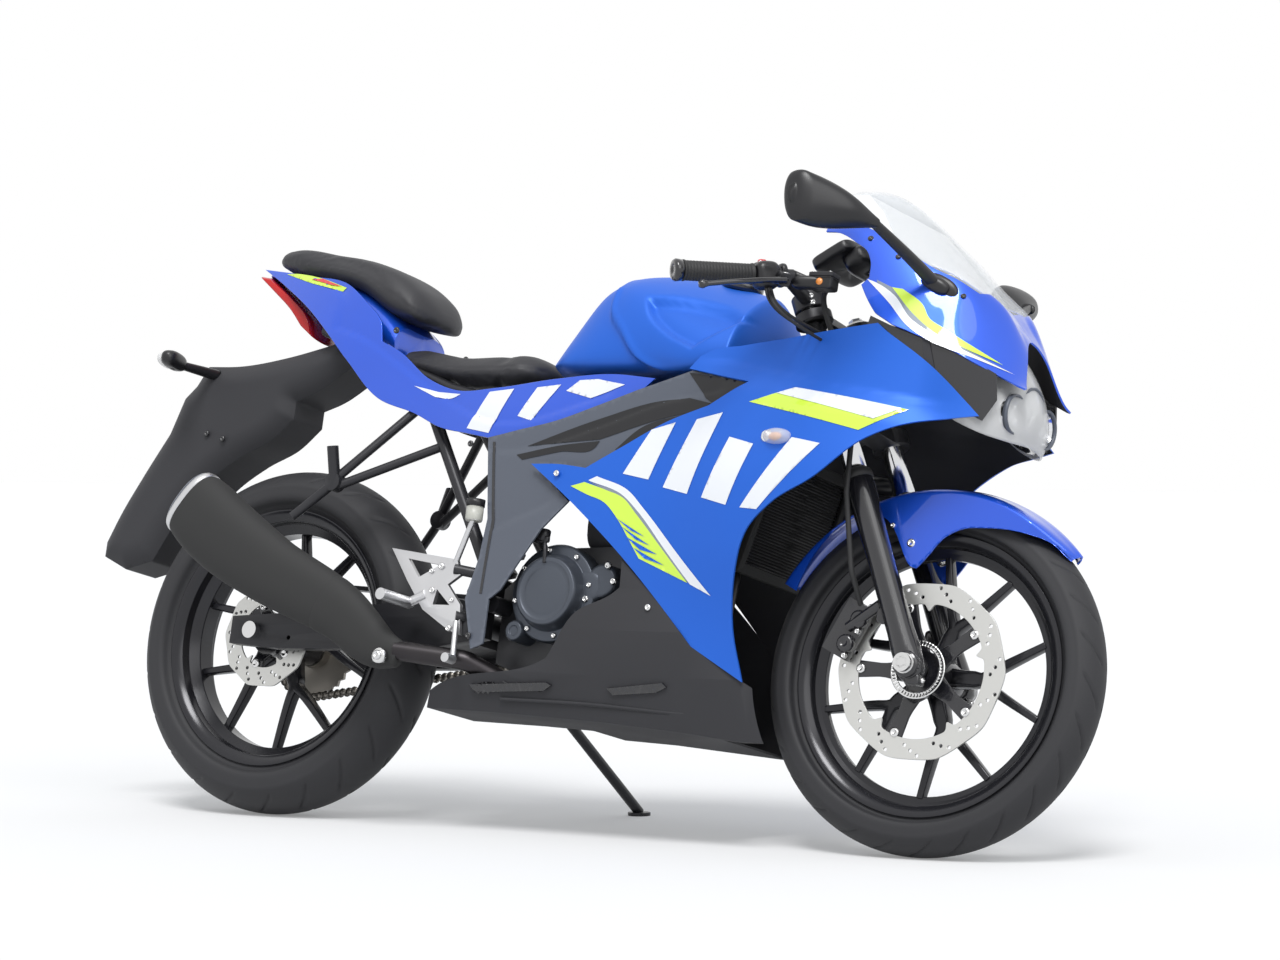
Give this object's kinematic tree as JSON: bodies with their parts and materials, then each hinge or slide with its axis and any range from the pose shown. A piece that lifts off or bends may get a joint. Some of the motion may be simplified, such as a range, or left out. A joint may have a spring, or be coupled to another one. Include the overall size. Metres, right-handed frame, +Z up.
{
  "type": "sport motorcycle",
  "caption": "Fully faired sport motorcycle leaning on its side stand, with turning wheels, steering and a folding stand.",
  "frame": {"origin": "middle of the footprint box, on the ground", "axes": "+X forward, +Y to the left of the machine, +Z up; the machine leans 13 degrees towards +Y"},
  "size_m": [2.0132, 0.7571, 1.089],
  "materials": {
    "tyre": "matte",
    "wheel_black": "gloss",
    "disc_steel": "brushed",
    "chain_steel": "oiled",
    "body_blue": "metallic gloss",
    "cover_grey": "satin",
    "frame_black": "satin",
    "caliper_black": "satin",
    "bolt_steel": "bright",
    "engine_dark": "satin",
    "radiator_black": "matte",
    "exhaust_steel": "heat tinted",
    "muffler_black": "matte",
    "seat_vinyl": "grained vinyl",
    "matte_black": "textured",
    "screen_clear": "clear",
    "lamp_clear": "clear lens",
    "lens_red": "gloss",
    "cast_aluminium": "satin cast",
    "lens_clear": "clear lens",
    "fork_black": "gloss",
    "grip_black": "moulded",
    "hose_rubber": "satin"
  },
  "bodies": {
    "root": {"drive_chain": "chain_steel", "side_cowl_right": "body_blue", "side_cowl_left": "body_blue", "frame_covers": "cover_grey", "tail_sides": "body_blue", "frame": "frame_black", "fuel_tank": "body_blue", "swingarm": "frame_black", "rear_shock": "frame_black", "rear_caliper": "caliper_black", "rear_axle": "bolt_steel", "engine": "engine_dark", "engine_covers": "engine_dark", "radiator": "radiator_black", "exhaust_header": "exhaust_steel", "muffler": "muffler_black", "tail_core": "body_blue", "rider_seat": "seat_vinyl", "pillion_seat": "seat_vinyl", "belly_pan": "matte_black", "front_cowl": "body_blue", "windscreen": "screen_clear", "headlight": "lamp_clear", "fairing_stay": "frame_black", "rear_fender": "matte_black", "taillight": "lens_red", "mirrors": "matte_black", "rearsets": "cast_aluminium", "pillion_brackets": "frame_black", "signals": "lens_clear"},
    "steering": {"fork_legs": "fork_black", "triple_clamps": "cast_aluminium", "handlebars": "grip_black", "front_fender": "body_blue", "front_axle": "bolt_steel", "front_caliper": "caliper_black", "front_hose": "hose_rubber"},
    "front_wheel": {"front_tyre": "tyre", "front_rim": "wheel_black", "front_disc": "disc_steel"},
    "rear_wheel": {"rear_tyre": "tyre", "rear_rim": "wheel_black", "rear_disc": "disc_steel", "rear_sprocket": "chain_steel"},
    "side_stand": {"stand_leg": "frame_black"}
  },
  "joints": [
    {"name": "steering", "type": "hinge", "parent": "root", "child": "steering", "pos_m": [0.81147, -0.2166, 0.0019], "axis": [-0.4067, 0.2055, 0.8901], "range_deg": [-36.7, 29.3]},
    {"name": "front_wheel_spin", "type": "hinge", "parent": "steering", "child": "front_wheel", "pos_m": [0.71913, -0.15016, 0.28044], "axis": [-0.059, 0.9664, -0.2501], "continuous": true},
    {"name": "rear_wheel_spin", "type": "hinge", "parent": "root", "child": "rear_wheel", "pos_m": [-0.58153, -0.14754, 0.30103], "axis": [0, 0.9744, -0.225], "continuous": true},
    {"name": "side_stand_fold", "type": "hinge", "parent": "root", "child": "side_stand", "pos_m": [-0.04593, -0.08548, 0.1929], "axis": [0.0048, 0.6638, 0.7479], "range_deg": [0, 85]}
  ]
}
